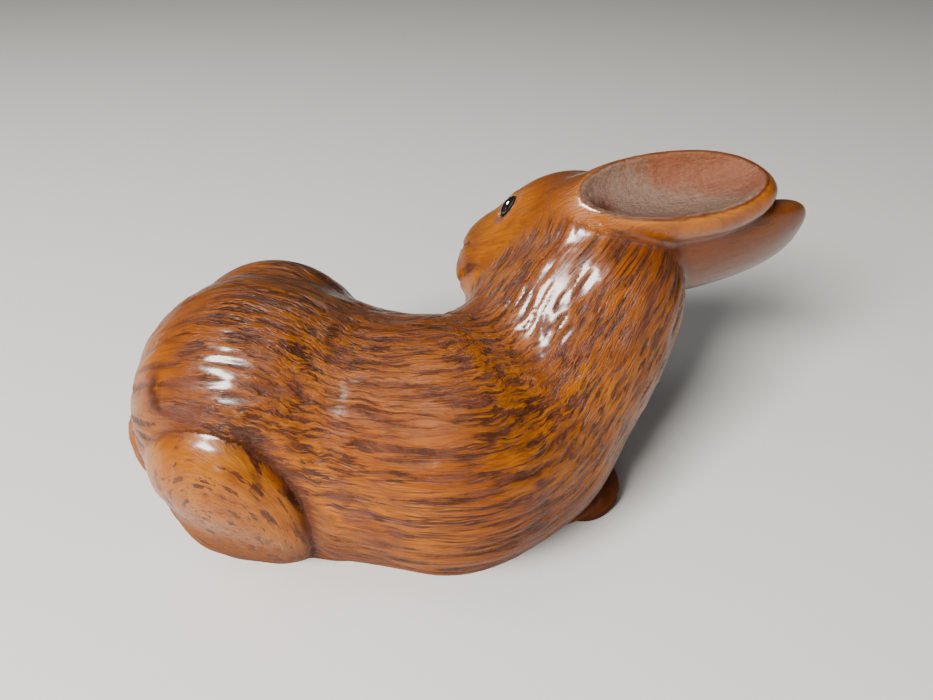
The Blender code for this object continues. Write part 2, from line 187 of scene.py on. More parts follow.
# %% Balls and tapering limbs
def ellipsoid(points, centre, axes, frame_rows=None):
    """k (k - 1) / g, with k the scaled radius and g the slope of its square."""
    offset = points - np.asarray(centre, float)
    if frame_rows is not None:
        offset = offset @ np.asarray(frame_rows).T
    axes = np.asarray(axes, float)
    scaled = np.linalg.norm(offset / axes, axis=-1)
    slope = np.linalg.norm(offset / axes ** 2, axis=-1)
    return scaled * (scaled - 1.0) / np.maximum(slope, 1e-9)


def taper(points, start, end):
    """Distance to the ball on the axis that is nearest, less its radius."""
    start = np.asarray(start, float)
    end = np.asarray(end, float)
    axis = end[:3] - start[:3]
    length = np.linalg.norm(axis)
    offset = points - start[:3]
    height = offset @ axis / length
    aside = np.linalg.norm(offset - height[..., None] * axis / length, axis=-1)
    lean = (start[3] - end[3]) / length
    place = np.clip(height - aside * lean / math.sqrt(1.0 - lean * lean), 0.0, length)
    return np.hypot(aside, height - place) - (start[3] + (end[3] - start[3]) * place / length)


def chain(points, stations, reach):
    """Tapers from each station to the next, joined."""
    distance = taper(points, stations[0], stations[1])
    for start, end in zip(stations[1:], stations[2:]):
        distance = join(distance, taper(points, start, end), reach)
    return distance


print("beside a unit ball:", ellipsoid(np.array([[3.0, 0.0, 0.0]]), (0.0, 0.0, 0.0), (1.0, 1.0, 1.0)))

# %% The way the head and the ears face
def head_axes():
    """Rows: forward to the nose, out to the left cheek, up to the crown."""
    forward = unit(HEAD_FORWARD)
    crown = np.asarray(HEAD_CROWN, float)
    crown = unit(crown - forward * crown.dot(forward))
    return np.array([forward, np.cross(crown, forward), crown])


HEAD_AXES = head_axes()


def ear_frame(ear):
    """Centre of a blade, its rows along, across and out, and its half axes."""
    root, tip, width, thickness, facing = ear
    root = np.asarray(root, float)
    tip = np.asarray(tip, float)
    along = unit(tip - root)
    out = np.asarray(facing, float)
    out = unit(out - along * out.dot(along))
    rows = np.array([along, np.cross(out, along), out])
    half = np.array([np.linalg.norm(tip - root), width, thickness]) / 2.0
    return (root + tip) / 2.0, rows, half


print("the head faces", HEAD_AXES[0].round(2))
print("half axes of the left ear:", ear_frame(LEFT_EAR)[2].round(1))

# %% Ears
RIM_SIDE = (0.4, 0.9)


def blunt_oval(place, half):
    """k (k - 1) / g, where k adds powers above 2 towards the tip, which blunts it."""
    scaled = np.abs(place) / half
    power = np.where(place[..., 0] > 0.0, TIP_BLUNTNESS, ROOT_BLUNTNESS)
    outline = (scaled[..., 0] ** power + scaled[..., 1] ** power) ** (1.0 / power)
    reach = np.maximum(np.hypot(outline, scaled[..., 2]), 1e-9)
    share = (scaled[..., :2] / np.maximum(outline, 1e-9)[..., None]) ** (power - 1.0)[..., None]
    slope = np.concatenate([share * outline[..., None], scaled[..., 2:]], -1) / half
    return (reach - 1.0) * reach / np.maximum(np.linalg.norm(slope, axis=-1), 1e-9)


def ear_parts(points, ear, hollow, chip):
    """Distances to a chipped blade and to its hollow, and 1 at its root."""
    centre, rows, half = ear_frame(ear)
    place = (points - centre) @ rows.T
    on_rim = ramp(RIM_SIDE[0] * half[1], RIM_SIDE[1] * half[1], chip[1] * place[..., 1])
    chipped = CHIP_DEPTH * ridge(place[..., 0] - chip[0], CHIP_WIDTH) * on_rim
    blade = blunt_oval(place, half) + chipped
    scoop = blunt_oval(place - np.asarray(hollow[0]), np.asarray(hollow[1]))
    return blade, scoop, 1.0 - ramp(-half[0], -0.4 * half[0], place[..., 0])


def add_ear(distance, points, spec):
    """Join the blade, softly at its root, then cut its hollow."""
    blade, scoop, rooted = ear_parts(points, *spec)
    return cut(join(distance, blade, EAR_BLEND + ROOT_BLEND * rooted), scoop, TRIM_BLEND)


RIGHT_EAR_SPEC = (RIGHT_EAR, RIGHT_EAR_HOLLOW, RIGHT_EAR_CHIP)
LEFT_EAR_SPEC = (LEFT_EAR, LEFT_EAR_HOLLOW, LEFT_EAR_CHIP)
for side, spec in (("right", RIGHT_EAR_SPEC), ("left", LEFT_EAR_SPEC)):
    print(side, "ear, thickness", spec[0][3], "and hollow", spec[1][1])

# %% Trunk, thighs and feet
OUTER_SIDE = (3.0, 9.0)


def thigh_edge(points, thigh):
    """0 on the thigh's outline, two half ovals that meet at its middle."""
    middle_x, middle_z, half_width, half_above, half_below = thigh
    along = (points[..., 0] - middle_x) / half_width
    above = points[..., 2] - middle_z
    upright = np.where(above > 0.0, above / half_above, above / half_below)
    return np.hypot(along, upright) - 1.0, along


def thigh_relief(points, thigh, side):
    """Lift inside the outline, less the groove along its upper front."""
    edge, along = thigh_edge(points, thigh)
    outer = ramp(*OUTER_SIDE, side * points[..., 1])
    seen = ramp(-1.1, -0.1, along) * ramp(2.0, 10.0, points[..., 2])
    lift = THIGH_LIFT * ramp(0.0, THIGH_SLOPE, -edge)
    groove_width = np.where(edge > 0.0, GROOVE_OUTSIDE, GROOVE_INSIDE)
    groove = THIGH_GROOVE * ridge(edge, groove_width) * seen
    return (lift - groove) * outer


def paw(points, spec, leg):
    """A foot on its leg, with a bell-shaped groove between two toes."""
    centre, axes = spec
    distance = ellipsoid(points, centre, axes)
    front = ramp(centre[0] + 0.1 * axes[0], centre[0] + 0.6 * axes[0], points[..., 0])
    for toe in range(1, PAW_TOES):
        line = centre[1] + axes[1] * (2.0 * toe / PAW_TOES - 1.0)
        distance = distance + TOE_GROOVE * front * ridge(points[..., 1] - line, TOE_GROOVE_WIDTH)
    return join(leg, distance, LIMB_BLEND)


def trunk(points):
    """Rump, loin, waist, chest and neck, with the haunches on each side."""
    back = chain(points, (RUMP_STATION, LOIN_STATION, WAIST_STATION, CHEST_STATION), TRUNK_BLEND)
    neck = chain(points, (CHEST_STATION, NECK_STATION, NAPE_STATION), TRUNK_BLEND)
    distance = join(join(ellipsoid(points, *RUMP_MASS), back, TRUNK_BLEND), neck, TRUNK_BLEND)
    distance = join(distance, ellipsoid(points, *LEFT_HAUNCH_MASS), HAUNCH_BLEND)
    distance = join(distance, ellipsoid(points, *RIGHT_HAUNCH_MASS), THIGH_BLEND)
    distance = distance - thigh_relief(points, RIGHT_THIGH, -1.0)
    distance = distance - thigh_relief(points, LEFT_THIGH, 1.0)
    distance = join(distance, ellipsoid(points, *BELLY_MASS), BELLY_BLEND)
    return join(distance, ellipsoid(points, *TAIL_MASS), TRIM_BLEND)


print("depth at the waist:", trunk(np.array([WAIST_STATION[:3]])).round(1))

# %% Head, and the whole carving
def on_head(points):
    """Places along the head's own axes."""
    return (points - np.asarray(HEAD_CENTRE)) @ HEAD_AXES.T


def head(points):
    """Skull, muzzle, brows, lips and chin, less the lines of the face."""
    place = on_head(points)
    skull = ellipsoid(place, (0.0, 0.0, 0.0), SKULL_AXES)
    skull = join(skull, ellipsoid(place, MUZZLE_PLACE, MUZZLE_AXES), FACE_BLEND)
    skull = join(skull, ellipsoid(place, CROWN_PLACE, CROWN_AXES), FACE_BLEND)
    half = np.stack([place[..., 0], np.abs(place[..., 1]), place[..., 2]], -1)
    skull = join(skull, ellipsoid(half, BROW_PLACE, BROW_AXES), BROW_BLEND)
    skull = join(skull, ellipsoid(half, LIP_PLACE, LIP_AXES), TRIM_BLEND)
    skull = join(skull, ellipsoid(place, CHIN_PLACE, CHIN_AXES), TRIM_BLEND)
    forward, aside, upward = half[..., 0], half[..., 1], half[..., 2]
    mouth_line = MOUTH_HEIGHT + MOUTH_RISE * aside
    nostril_line = NOSTRIL_HEIGHT - NOSTRIL_FALL * aside
    mouth = ridge(upward - mouth_line, FACE_LINE_WIDTH) * ramp(10.5, 13.0, forward)
    nostril = ridge(upward - nostril_line, FACE_LINE_WIDTH) * ramp(12.5, 14.0, forward)
    above_mouth = ramp(MOUTH_HEIGHT, -4.0, upward)
    parting = ridge(aside, FACE_LINE_WIDTH) * above_mouth * ramp(14.0, 15.5, forward)
    return skull + MOUTH_DEPTH * mouth + NOSTRIL_DEPTH * (nostril + parting)


def carving(points):
    """Distance to the whole carving before the fur is cut."""
    distance = join(trunk(points), head(points), HEAD_BLEND)
    distance = add_ear(distance, points, RIGHT_EAR_SPEC)
    distance = add_ear(distance, points, LEFT_EAR_SPEC)
    for leg, spec in ((RIGHT_FORELEG, RIGHT_PAW), (LEFT_FORELEG, LEFT_PAW)):
        foot = paw(points, spec, chain(points, leg, LIMB_BLEND))
        distance = join(distance, foot, LIMB_BLEND)
    for spec in (RIGHT_HIND_FOOT, LEFT_HIND_FOOT):
        distance = join(distance, ellipsoid(points, *spec), TRIM_BLEND)
    return distance


print("depth in the chest:", carving(np.array([CHEST_STATION[:3]])).round(1))

# %% [markdown]
# ## The eyes' seats and lids
# The real eyes are pressed into drilled seats, and a thin lid stands round
# each. The seat is the eye's own slanting oval, a hair wider, cut out of the
# head, and the lid is a low bell round it, raised before the skin is settled.

# %% Eye seats
SEAT_GAP = 0.12
SEAT_BLEND = 0.2
LID_RING = 1.5
LID_WIDTH = 0.28
LID_RISE = 0.2
LID_REACH = 3.0


def eye_seat(side):
    """Centre and rows (narrow, out, long) of an eye, 1 left and -1 right."""
    forward, outward, upward = EYE_PLACE
    centre = np.asarray(HEAD_CENTRE) + np.array((forward, side * outward, upward)) @ HEAD_AXES
    narrow = HEAD_AXES[0] * math.cos(EYE_TILT) + HEAD_AXES[2] * math.sin(EYE_TILT)
    long = HEAD_AXES[2] * math.cos(EYE_TILT) - HEAD_AXES[0] * math.sin(EYE_TILT)
    return centre, np.array([side * narrow, side * HEAD_AXES[1], long])


def lid(points):
    """A bell over the scaled radius round each eye, near the head's side."""
    rise = np.zeros(points.shape[:-1])
    for side in (1.0, -1.0):
        centre, rows = eye_seat(side)
        place = (points - centre) @ rows.T
        ring = np.hypot(place[..., 0] / EYE_AXES[0], place[..., 2] / EYE_AXES[2])
        rise = rise + ridge(ring - LID_RING, LID_WIDTH) * (np.abs(place[..., 1]) < LID_REACH)
    return rise


def carving_with_seats(points):
    """The carving with both lids raised, less both seats."""
    distance = carving(points) - LID_RISE * lid(points)
    for side in (1.0, -1.0):
        centre, rows = eye_seat(side)
        seat = ellipsoid(points, centre, np.asarray(EYE_AXES) + SEAT_GAP, rows)
        distance = cut(distance, seat, SEAT_BLEND)
    return distance


print("the left eye lies at", eye_seat(1.0)[0].round(1))

# %% [markdown]
# ## A fine, even skin
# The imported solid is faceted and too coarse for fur. A voxel remesh wraps a
# merged copy in small even squares, and each vertex is then moved down the
# slope of the distance until it lies on the true surface. Voxels keep thin
# ears closed, and the settling takes away their steps.

# %% Skin helpers
SKIN_CELL = 0.00035
SLOPE_PROBE = 0.02
SETTLE_STEPS = 4
LONGEST_STEP = 1.0
LEAST_SLOPE = 0.2


def slope_of(points, distance_of):
    """Gradient by central differences, one probe each way along each axis."""
    probes = np.eye(3) * SLOPE_PROBE
    sides = [distance_of(points + probe) - distance_of(points - probe) for probe in probes]
    return np.stack(sides, -1) / (2.0 * SLOPE_PROBE)


def settled(points, distance_of, steps):
    """Newton steps: move by distance times slope over the slope squared."""
    for _ in range(steps):
        slope = slope_of(points, distance_of)
        move = distance_of(points) / np.maximum((slope ** 2).sum(-1), LEAST_SLOPE)
        points = points - slope * np.clip(move, -LONGEST_STEP, LONGEST_STEP)[:, None]
    return points


def places_of(mesh):
    """Vertex places of a mesh, as shares of the length."""
    flat = np.empty(len(mesh.vertices) * 3, np.float32)
    mesh.vertices.foreach_get("co", flat)
    return flat.reshape(-1, 3).astype(float) / SHARE + MIDDLE


def place_all(mesh, points):
    """Write vertex places back in metres."""
    metres = (points - MIDDLE) * SHARE
    mesh.vertices.foreach_set("co", metres.astype(np.float32).ravel())
    mesh.update()


def merged_copy(node, name):
    """A copy of a solid's mesh with its loose triangles joined."""
    edit = bmesh.new()
    edit.from_mesh(node.data)
    bmesh.ops.remove_doubles(edit, verts=edit.verts, dist=1e-6)
    mesh = bpy.data.meshes.new(name)
    edit.to_mesh(mesh)
    edit.free()
    return mesh


def remeshed(item, cell):
    """The object's mesh, wrapped in squares of this size."""
    modifier = item.modifiers.new("skin", "REMESH")
    modifier.mode = "VOXEL"
    modifier.voxel_size = cell
    graph = bpy.context.evaluated_depsgraph_get()
    mesh = bpy.data.meshes.new_from_object(item.evaluated_get(graph))
    item.modifiers.clear()
    return mesh


print("squares of the skin:", SKIN_CELL * 1000, "mm")

# %% Wrap and settle
hare = bpy.data.objects.new("carved_hare", merged_copy(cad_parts["hare"], "carved_hare"))
bpy.context.scene.collection.objects.link(hare)
bpy.context.view_layer.update()
hare.data = remeshed(hare, SKIN_CELL)
skin = settled(places_of(hare.data), carving_with_seats, SETTLE_STEPS)
skin_slope = slope_of(skin, carving_with_seats)
skin_normal = skin_slope / np.linalg.norm(skin_slope, axis=1)[:, None]
print("skin:", len(skin), "vertices,", len(hare.data.polygons) * 2, "triangles")

# %% [markdown]
# ## Where the strokes run
# Fur lies along the body, so the strokes follow it. Each point gets two
# coordinates: how far along a smooth spine it lies, and how far round that
# spine. On the head they run back from the nose, on an ear from root to tip,
# and on a thigh round its middle, in rings.

# %% Spine from rump to nape
SPINE_SAMPLES = 140
SPINE_ROUNDS = 60
SPINE_SPREAD = 5.0
BEHIND_RUMP = (-54.0, -1.0, 24.0)
PAST_NAPE = (27.0, 12.0, 45.5)
TRUNK_ROUND = 16.0


def smooth_spine():
    """The stations' centres, evenly spaced and averaged with neighbours."""
    back = [RUMP_STATION[:3], LOIN_STATION[:3], WAIST_STATION[:3], CHEST_STATION[:3]]
    stops = np.array([BEHIND_RUMP, *back, NECK_STATION[:3], NAPE_STATION[:3], PAST_NAPE])
    lengths = np.r_[0.0, np.cumsum(np.linalg.norm(np.diff(stops, axis=0), axis=1))]
    even = np.linspace(0.0, lengths[-1], SPINE_SAMPLES)
    line = np.stack([np.interp(even, lengths, stops[:, axis]) for axis in range(3)], 1)
    for _ in range(SPINE_ROUNDS):
        line[1:-1] = (line[:-2] + 2.0 * line[1:-1] + line[2:]) / 4.0
    return line, even


def trunk_place(points):
    """Along and round the spine, as averages weighted by nearness."""
    line, even = smooth_spine()
    tangent = np.gradient(line, axis=0)
    tangent /= np.linalg.norm(tangent, axis=1)[:, None]
    side = np.stack([tangent[:, 1], -tangent[:, 0], np.zeros(len(line))], 1)
    side /= np.linalg.norm(side, axis=1)[:, None]
    top = np.cross(side, tangent) * -1.0
    far = (points ** 2).sum(1)[:, None] - 2.0 * points @ line.T + (line ** 2).sum(1)[None]
    near = np.exp(-(far - far.min(1)[:, None]) / (2.0 * SPINE_SPREAD ** 2))
    near /= near.sum(1)[:, None]
    offset = points - near @ line
    out_side = (offset * (near @ side)).sum(1)
    out_top = (offset * (near @ top)).sum(1)
    return near @ even, np.arctan2(out_side, out_top) * TRUNK_ROUND


print("length of the spine:", round(smooth_spine()[1][-1], 1))

# %% Head, ear and thigh coordinates
HEAD_ROUND = 8.5
BLADE_TURN = 0.6


def head_place(points):
    """Back from the nose, and round the head's own axis."""
    place = on_head(points)
    return -place[:, 0], np.arctan2(place[:, 1], place[:, 2]) * HEAD_ROUND


def ear_place(points, ear):
    """From the ear's root to its tip, and round its blade."""
    centre, rows, _ = ear_frame(ear)
    place = (points - centre) @ rows.T
    return place[:, 0], place[:, 1] + BLADE_TURN * place[:, 2]


RIGHT_WHORL = (-31.5, 19.0)
LEFT_WHORL = (-31.0, 19.0)
WHORL_TALL = 1.6
WHORL_LEAN = math.radians(14.0)
WHORL_ROUND = 9.0


def thigh_place(points, whorl):
    """Round tall leaning ovals: the angle times a length, and the radius."""
    aside = points[:, 0] - whorl[0]
    above = points[:, 2] - whorl[1]
    wide = aside * math.cos(WHORL_LEAN) + above * math.sin(WHORL_LEAN)
    tall = (above * math.cos(WHORL_LEAN) - aside * math.sin(WHORL_LEAN)) / WHORL_TALL
    return np.arctan2(tall, wide) * WHORL_ROUND, np.hypot(wide, tall)


along, around = trunk_place(skin)
print("spine runs from", round(along.min(), 1), "to", round(along.max(), 1))

# %% [markdown]
# ## One stroke of the gouge
# The surface is divided into long narrow cells, like bricks. Each cell may
# hold one stroke, whose place, length, width and depth come from the cell's
# own number, so that no two are alike and every run gives the same fur.

# %% Numbers from cells, and soft noise
def cell_number(column, row, seed):
    """A fraction from 0 to 1 by mixing the bits of two whole numbers."""
    mixed = column.astype(np.int64) * 374761393 + row.astype(np.int64) * 668265263
    mixed = (mixed + seed * 974634777) & 0xFFFFFFFF
    mixed = ((mixed ^ (mixed >> 13)) * 1274126177) & 0xFFFFFFFF
    mixed = ((mixed ^ (mixed >> 16)) * 2246822519) & 0xFFFFFFFF
    return (mixed ^ (mixed >> 15)) / 4294967296.0


def soft_noise(x, y, seed):
    """Numbers at whole corners, blended smoothly, from -1 to 1."""
    column, row = np.floor(x), np.floor(y)
    fx = ramp(0.0, 1.0, x - column)
    fy = ramp(0.0, 1.0, y - row)
    low_left = cell_number(column, row, seed)
    low_right = cell_number(column + 1, row, seed)
    high_left = cell_number(column, row + 1, seed)
    high_right = cell_number(column + 1, row + 1, seed)
    low = low_left * (1 - fx) + low_right * fx
    high = high_left * (1 - fx) + high_right * fx
    return 2.0 * (low * (1 - fy) + high * fy) - 1.0


print("three cells:", cell_number(np.arange(3.0), np.zeros(3), 1).round(2))

# %% Strokes in cells
WAVER = 0.45
DRIFT = 0.9
ROW_SCATTER = 0.7
STROKE_LEAN = 0.16


def strokes(along, across, length, gap, width, share, seed):
    """Deepest of the nearby strokes: (1 - u squared) times a bell across.

    u runs from -1 to 1 along a stroke. share is how many cells hold one.
    """
    waver = soft_noise(along / (0.5 * length), across / (2.5 * gap), seed)
    across = across + WAVER * gap * waver
    drift = soft_noise(along / (2.2 * length), across / (7.0 * gap), seed + 1)
    across = across + DRIFT * gap * drift
    deepest = np.zeros(len(along))
    first_row = np.floor(across / gap)
    for row_step in (-1, 0, 1):
        row = first_row + row_step
        shift = cell_number(row, row * 0, seed + 2) * length
        first_cell = np.floor((along + shift) / length)
        for cell_step in (-1, 0, 1):
            cell = first_cell + cell_step
            drawn = [cell_number(cell, row, seed + n) for n in range(3, 9)]
            one, two, three, four, five, six = drawn
            middle = (cell + 0.5 + 0.5 * (one - 0.5)) * length - shift
            line = (row + 0.5 + ROW_SCATTER * (two - 0.5)) * gap
            reach = length * (0.28 + 0.34 * three)
            u = (along - middle) / reach
            half = width * (0.6 + 0.8 * four) * np.sqrt(np.clip(1.0 - u * u, 0.04, 1.0))
            lean = (five - 0.5) * STROKE_LEAN * (along - middle)
            depth = np.clip(1.0 - u * u, 0.0, 1.0) * ridge(across - line - lean, half)
            deepest = np.maximum(deepest, depth * (six < share) * (0.45 + 0.55 * one))
    return deepest


sample = strokes(np.linspace(0.0, 40.0, 400), np.full(400, 2.0), 11.0, 1.4, 0.42, 0.8, 11)
print("along one hair line, share that is cut:", round(float((sample > 0.3).mean()), 2))

# %% [markdown]
# ## Which fur goes where
# The flank has long deep strokes, the neck short wavy ones, the thigh sparse
# dashes in rings, and the face almost none. Soft masks, made from the same
# distances as the shape, say how much of each there is at every vertex.

# %% Masks
EAR_FADE = (0.3, 1.5)
HOLLOW_FADE = (0.1, 0.6)
FACE_FADE = (-1.0, 3.0)
THIGH_FADE = (-0.04, 0.03)
NECK_START = (68.0, 80.0)
PAW_FRONT = (11.0, 15.0)
PAW_TOP = (8.5, 11.5)
BEHIND_THIGH = -15.0

body_far = trunk(skin)
head_far = head(skin)
left_blade, left_scoop, _ = ear_parts(skin, *LEFT_EAR_SPEC)
right_blade, right_scoop, _ = ear_parts(skin, *RIGHT_EAR_SPEC)
on_left_ear = left_blade < right_blade
ear_far = np.minimum(left_blade, right_blade)
on_ears = 1.0 - ramp(*EAR_FADE, ear_far)
scoop_far = np.where(on_left_ear, left_scoop, right_scoop)
in_hollow = (1.0 - ramp(*HOLLOW_FADE, scoop_far)) * (ear_far < 1.0)
on_face = (1.0 - ramp(*FACE_FADE, head_far - body_far)) * (1.0 - on_ears)
right_side = skin[:, 1] < 0.0
outer = ramp(*OUTER_SIDE, np.abs(skin[:, 1]))
right_edge, right_reach = thigh_edge(skin, RIGHT_THIGH)
left_edge, left_reach = thigh_edge(skin, LEFT_THIGH)
edge = np.where(right_side, right_edge, left_edge)
edge_along = np.where(right_side, right_reach, left_reach)
on_thigh = (1.0 - ramp(*THIGH_FADE, edge)) * outer * (1.0 - on_ears)

# The band just above the thigh's upper front edge, which gets fur and painted shade
ledge = ramp(0.0, 0.08, edge) * (1.0 - ramp(0.16, 0.42, edge)) * outer
ledge = ledge * ramp(22.0, 30.0, skin[:, 2])
ledge = ledge * (1.0 - ramp(0.3, 0.8, edge_along)) * (skin[:, 0] < BEHIND_THIGH)
on_paws = ramp(*PAW_FRONT, skin[:, 0]) * (1.0 - ramp(*PAW_TOP, skin[:, 2]))
on_trunk = (1.0 - on_face) * (1.0 - on_ears) * (1.0 - on_thigh) * (1.0 - on_paws)
on_neck = on_trunk * ramp(*NECK_START, along)
on_flank = on_trunk * (1.0 - ramp(*NECK_START, along))
print("share on the trunk:", round(float(on_trunk.mean()), 2))

# %% Coordinates for each part
right_ear_along, right_ear_across = ear_place(skin, RIGHT_EAR)
left_ear_along, left_ear_across = ear_place(skin, LEFT_EAR)
ear_along = np.where(on_left_ear, left_ear_along, right_ear_along)
ear_across = np.where(on_left_ear, left_ear_across, right_ear_across)
face_along, face_across = head_place(skin)
right_round, right_out = thigh_place(skin, RIGHT_WHORL)
left_round, left_out = thigh_place(skin, LEFT_WHORL)
thigh_round = np.where(right_side, right_round, left_round)
thigh_out = np.where(right_side, right_out, left_out)
print("rings on the thigh reach", round(float(thigh_out[on_thigh > 0.5].max()), 1))

# %% Lay the strokes: length, gap, width, share of cells and seed
long_cuts = strokes(along, around, 11.0, 1.4, 0.42, 0.8, 11)
fine_cuts = strokes(along, around, 6.0, 1.1, 0.38, 0.6, 31)
neck_cuts = strokes(along, around, 6.0, 1.35, 0.42, 0.9, 51)
dashes = strokes(thigh_round, thigh_out, 4.6, 1.5, 0.46, 0.42, 71)
face_cuts = strokes(face_along, face_across, 4.0, 1.3, 0.4, 0.25, 91)
ear_cuts = strokes(ear_along, ear_across, 8.0, 1.2, 0.4, 0.5, 111)
curled = around + 0.4 * np.sin(along * 1.7 + 3.0 * soft_noise(along / 3.0, around / 3.0, 131))
wisps = strokes(along, curled, 5.0, 1.9, 0.42, 0.4, 151)
fur = np.maximum(long_cuts, 0.6 * fine_cuts) * on_flank + 1.25 * neck_cuts * on_neck
fur = fur + 0.7 * dashes * on_thigh + 0.25 * face_cuts * on_face + 0.6 * long_cuts * ledge
fur = fur + 0.3 * ear_cuts * on_ears * (1.0 - in_hollow) + 0.6 * neck_cuts * on_paws
fur = fur * ramp(0.0, 1.5, skin[:, 2])
print("fur covers", round(float((fur > 0.3).mean()) * 100), "per cent")

# %% [markdown]
# ## Cut the fur
# Every vertex sinks along its normal by the depth of the strokes over it, and
# rises a little on the curled wisps. The hand-cut skin also swells and dips
# softly, which breaks up the shine. The box of the plain solid is kept.

# %% Sink the vertices
FUR_DEPTH = 0.24
WISP_RISE = 0.13
SWELL = 0.16
HOLLOW_ROUGH = 0.1
swell = soft_noise(along / 5.0, around / 3.6, 171) * (on_trunk + 0.6 * on_thigh)
pitted = soft_noise(skin[:, 0] * 1.5, (skin[:, 1] + skin[:, 2]) * 1.5, 211) * in_hollow
raised = WISP_RISE * wisps * on_trunk * ramp(4.0, 10.0, skin[:, 2])
raised = raised + SWELL * swell * ramp(1.0, 4.0, skin[:, 2])
sunk = FUR_DEPTH * fur + HOLLOW_ROUGH * pitted - raised
cut_skin = skin - skin_normal * sunk[:, None]
cut_skin[:, 2] = np.maximum(cut_skin[:, 2], 0.0)
low = np.asarray(solid_low) / SHARE + MIDDLE
high = np.asarray(solid_high) / SHARE + MIDDLE
place_all(hare.data, np.clip(cut_skin, low, high))
hare.data.shade_smooth()
print("deepest cut:", round(float(sunk.max()) * SHARE * 1000, 2), "mm")

# %% [markdown]
# ## What the stain and the painted shade know about the shape
# Stain pools in the fur cuts, lies along the fur and wears off ridges, and the
# creases are painted darker as shade. The material can't work that out by
# itself, so each vertex carries it: the coordinates of the fur, the depth of
# the cut, how hollow the place is and which part of the animal it belongs to.

# %% Values that the finish reads
SMOOTH_PROBE = 1.6
FLOW_APART = 40.0
RUMP_END = (13.0, 22.0)

# Dark knots and stains: place, radius and strength
KNOTS = (
    ((-40.0, -13.7, 36.5), 1.6, 1.0),
    ((-39.2, -15.6, 35.2), 1.3, 0.9),
    ((-42.6, -12.4, 34.1), 0.9, 0.8),
    ((5.1, -2.4, 41.8), 0.55, 1.0),
    ((18.8, 4.7, 52.7), 1.5, 1.0),
    ((-0.1, -13.4, 39.1), 0.9, 1.0),
    ((9.4, -21.6, 26.3), 0.7, 1.0),
    ((-17.9, -6.4, 39.7), 1.0, 0.8),
    ((0.9, 12.5, 39.1), 1.1, 0.6),
    ((0.5, 12.7, 38.6), 1.3, 0.6),
    ((8.0, -23.1, 25.1), 0.6, 1.0),
    ((0.9, 15.1, 42.3), 3.0, 0.3),
)
# Where the wax has worn off the flank: place, radius and strength
DULL_SPOT = ((-9.0, -17.5, 36.0), 11.0, 1.0)


def hollowness(points, distance_of):
    """Mean distance of six points around, less the one in the middle."""
    probes = np.vstack([np.eye(3), -np.eye(3)]) * SMOOTH_PROBE
    return sum(distance_of(points + probe) for probe in probes) / 6.0 - distance_of(points)


def store(mesh, name, values):
    """Keep a number, or three, per vertex as a named attribute."""
    values = np.asarray(values, np.float32)
    kind, slot = ("FLOAT", "value") if values.ndim == 1 else ("FLOAT_VECTOR", "vector")
    layer = mesh.attributes.new(name, kind, "POINT")
    layer.data.foreach_set(slot, values.ravel())


def spots(points, places):
    """Sum of a bell of this radius and strength at each place."""
    return sum(power * ridge(np.linalg.norm(points - np.array(place), axis=1), radius)
               for place, radius, power in places)


def flow(wins, inner, outer_flow):
    """The inner pair of coordinates where it wins, set apart, else the outer."""
    pair = [np.where(wins, one, other) for one, other in zip(inner, outer_flow)]
    return np.stack(pair + [wins * FLOW_APART], 1)


curve = hollowness(skin, carving)
on_body_flow = flow(on_thigh > 0.5, (thigh_round, thigh_out), (along, around))
on_head_flow = flow(on_ears > 0.5, (ear_along, ear_across), (face_along, face_across))
store(hare.data, "body_flow", on_body_flow)
store(hare.data, "head_flow", on_head_flow)
stored = {
    "fur": fur,
    "curve": curve,
    "hollow": in_hollow,
    "thigh": on_thigh,
    "ledge": ledge,
    "end": 1.0 - ramp(*RUMP_END, along),
    "dull": spots(skin, (DULL_SPOT,)),
    "face": np.clip(on_face + on_ears, 0.0, 1.0),
    "ear": on_ears,
    "lid": lid(skin),
    "knots": spots(skin, KNOTS),
    # The paws and the far ear, which are painted darker as shade
    "far_ear_paw_shade": np.clip(on_paws + on_ears * (1.0 - on_left_ear), 0.0, 1.0),
}
for name, values in stored.items():
    store(hare.data, name, values)
print("hollowness from", round(curve.min(), 2), "to", round(curve.max(), 2))

# %% [markdown]
# ## Inlaid eyes
# Each eye is a polished oval bead of dark horn. It is a ball stretched along
# three axes: latitude and longitude on a grid, closed at both poles.

# %% Eyes
EYE_RINGS = 24
EYE_SPOKES = 40


def bead(name, centre, rows, half):
    """Grid of angles: (sin a cos b, sin a sin b, cos a) times the half axes."""
    down = np.linspace(0.0, math.pi, EYE_RINGS + 1)[1:-1]
    turn = np.arange(EYE_SPOKES) * 2.0 * math.pi / EYE_SPOKES
    a, b = np.meshgrid(down, turn, indexing="ij")
    ball = np.stack([np.sin(a) * np.cos(b), np.sin(a) * np.sin(b), np.cos(a)], -1).reshape(-1, 3)
    ball = np.vstack([ball, [(0.0, 0.0, 1.0), (0.0, 0.0, -1.0)]])
    points = centre + (ball * half) @ rows
    grid = np.arange(len(down) * EYE_SPOKES).reshape(len(down), EYE_SPOKES)
    after = np.roll(grid, -1, axis=1)
    quads = np.stack([grid[:-1], grid[1:], after[1:], after[:-1]], -1).reshape(-1, 4)
    top, bottom = len(ball) - 2, len(ball) - 1
    caps = [(top, p, q) for p, q in zip(grid[0], after[0])]
    caps += [(bottom, q, p) for p, q in zip(grid[-1], after[-1])]
    mesh = bpy.data.meshes.new(name)
    mesh.from_pydata(((points - MIDDLE) * SHARE).tolist(), [], quads.tolist() + caps)
    mesh.shade_smooth()
    item = bpy.data.objects.new(name, mesh)
    bpy.context.scene.collection.objects.link(item)
    return item


eyes = {}
for side, node in ((1.0, "eye_left"), (-1.0, "eye_right")):
    centre, rows = eye_seat(side)
    eyes[node] = bead("bead_" + node, centre, rows, np.asarray(EYE_AXES))
print("beads:", [item.name for item in eyes.values()])

# %% [markdown]
# ## Sums with sockets
# Shader nodes are easier to read as a formula. A small class wraps a socket,
# so that adding or multiplying two values adds the Math node for it.


